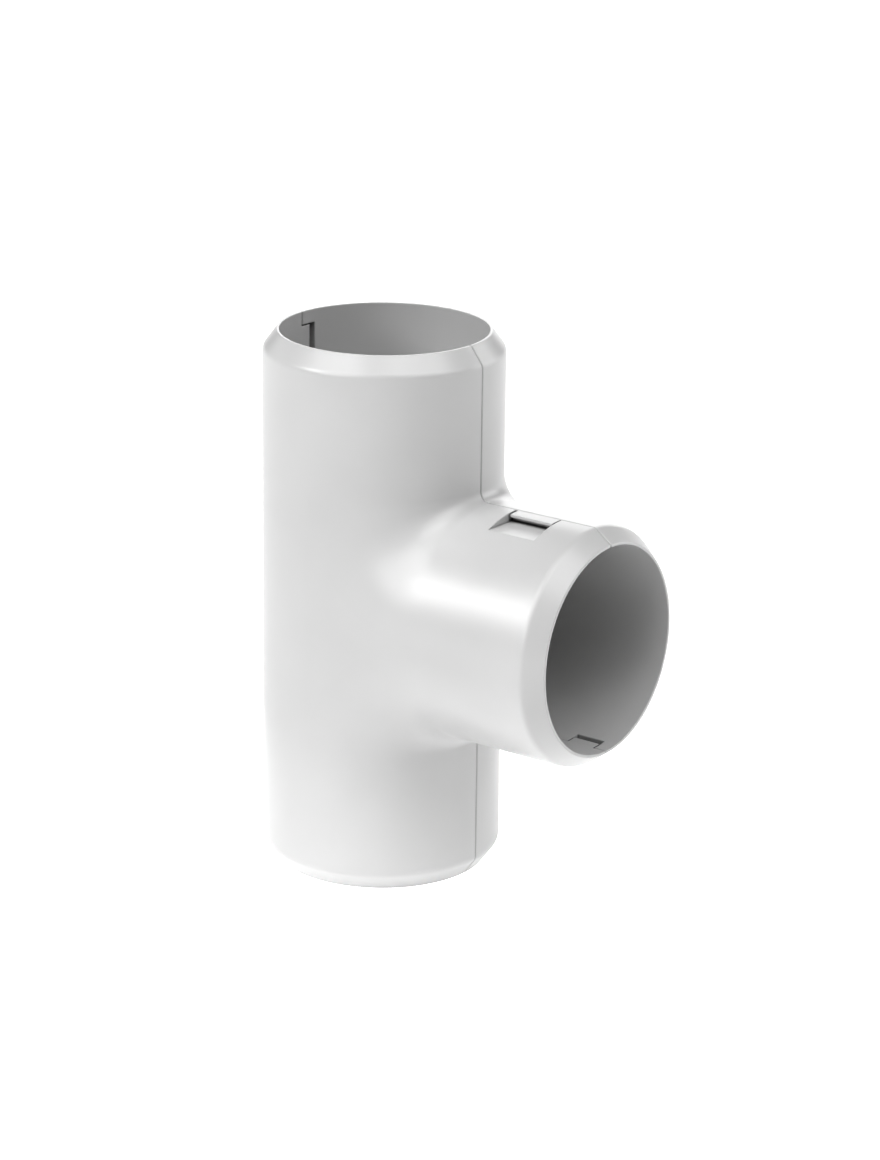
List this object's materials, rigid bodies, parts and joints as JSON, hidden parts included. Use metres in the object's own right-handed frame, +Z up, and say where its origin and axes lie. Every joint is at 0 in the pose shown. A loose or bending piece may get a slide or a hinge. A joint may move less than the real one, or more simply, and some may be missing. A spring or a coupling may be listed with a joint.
{
  "type": "conduit tee",
  "caption": "Clip-together conduit tee in half shells, with equal sockets for round conduit, conduit stops inside and snap tabs along the seam.",
  "frame": {"origin": "centre of the run's lower mouth", "axes": "+Z up along the run, +X out along the branch, +Y from the front shell to the rear shell, square to the seam plane"},
  "size_m": [0.0388, 0.0236, 0.054],
  "materials": {
    "shell": "satin"
  },
  "bodies": {
    "rear": {"rear_shell": "shell"},
    "front": {"front_shell": "shell"}
  },
  "joints": [
    {"name": "front_off", "type": "slide", "parent": "rear", "child": "front", "axis": [0, -1, 0], "range_m": [0, 0.03]}
  ]
}
